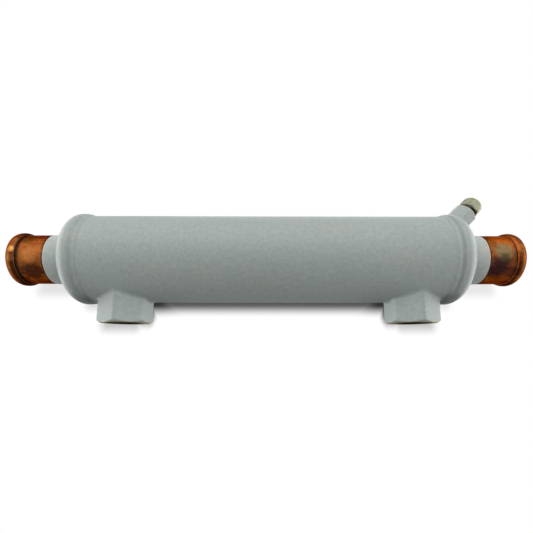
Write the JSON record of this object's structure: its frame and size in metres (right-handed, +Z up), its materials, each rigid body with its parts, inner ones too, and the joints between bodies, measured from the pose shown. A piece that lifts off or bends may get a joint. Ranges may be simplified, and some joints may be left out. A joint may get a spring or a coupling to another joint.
{
  "type": "hydraulic oil cooler",
  "caption": "Cylindrical shell-and-tube oil cooler with domed ends, a beaded copper hose spigot at each end, two hexagonal oil ports below and an angled zinc plug.",
  "frame": {"origin": "on the plane of the two oil-port faces, midway along the cooler, straight below the shell's axis", "axes": "+X along the shell towards the end with the zinc plug; +Z up, away from the oil ports"},
  "size_m": [0.288, 0.053, 0.0767],
  "materials": {
    "grey_enamel": "satin grey enamel over copper",
    "port_enamel": "thin satin grey enamel over brass",
    "bare_copper": "bare heat-tarnished copper",
    "plug_brass": "dull brass with paint traces",
    "zinc": "cast zinc",
    "cupronickel": "drawn cupronickel",
    "sheet_brass": "rolled brass"
  },
  "bodies": {
    "cooler": {"shell": "grey_enamel", "end_cap_left": "grey_enamel", "end_cap_right": "grey_enamel", "hose_spigot_left": "bare_copper", "hose_spigot_right": "bare_copper", "oil_port_left": "port_enamel", "oil_port_right": "port_enamel", "anode_boss": "port_enamel", "tube_sheet_left": "sheet_brass", "tube_sheet_right": "sheet_brass", "baffle_1": "sheet_brass", "baffle_2": "sheet_brass", "baffle_3": "sheet_brass", "baffle_4": "sheet_brass", "baffle_5": "sheet_brass", "cooling_tube_01": "cupronickel", "cooling_tube_02": "cupronickel", "cooling_tube_03": "cupronickel", "cooling_tube_04": "cupronickel", "cooling_tube_05": "cupronickel", "cooling_tube_06": "cupronickel", "cooling_tube_07": "cupronickel", "cooling_tube_08": "cupronickel", "cooling_tube_09": "cupronickel", "cooling_tube_10": "cupronickel", "cooling_tube_11": "cupronickel", "cooling_tube_12": "cupronickel", "cooling_tube_13": "cupronickel", "cooling_tube_14": "cupronickel", "cooling_tube_15": "cupronickel", "cooling_tube_16": "cupronickel", "cooling_tube_17": "cupronickel", "cooling_tube_18": "cupronickel", "cooling_tube_19": "cupronickel", "cooling_tube_20": "cupronickel", "cooling_tube_21": "cupronickel", "cooling_tube_22": "cupronickel", "cooling_tube_23": "cupronickel", "cooling_tube_24": "cupronickel", "cooling_tube_25": "cupronickel", "cooling_tube_26": "cupronickel", "cooling_tube_27": "cupronickel"},
    "anode": {"zinc_anode": "zinc"},
    "plug": {"anode_plug": "plug_brass"}
  },
  "joints": [
    {"name": "plug_travel", "type": "slide", "parent": "cooler", "child": "anode", "axis": [0.7071, 0, 0.7071], "range_m": [0, 0.00658]},
    {"name": "plug_turn", "type": "hinge", "parent": "anode", "child": "plug", "pos_m": [0.1207, 0, 0.0671], "axis": [0.7071, 0, 0.7071], "range_deg": [0, 2520]}
  ],
  "couplings": [
    {"joint": "plug_turn", "follows": "plug_travel", "rad_per_m": 6679}
  ]
}
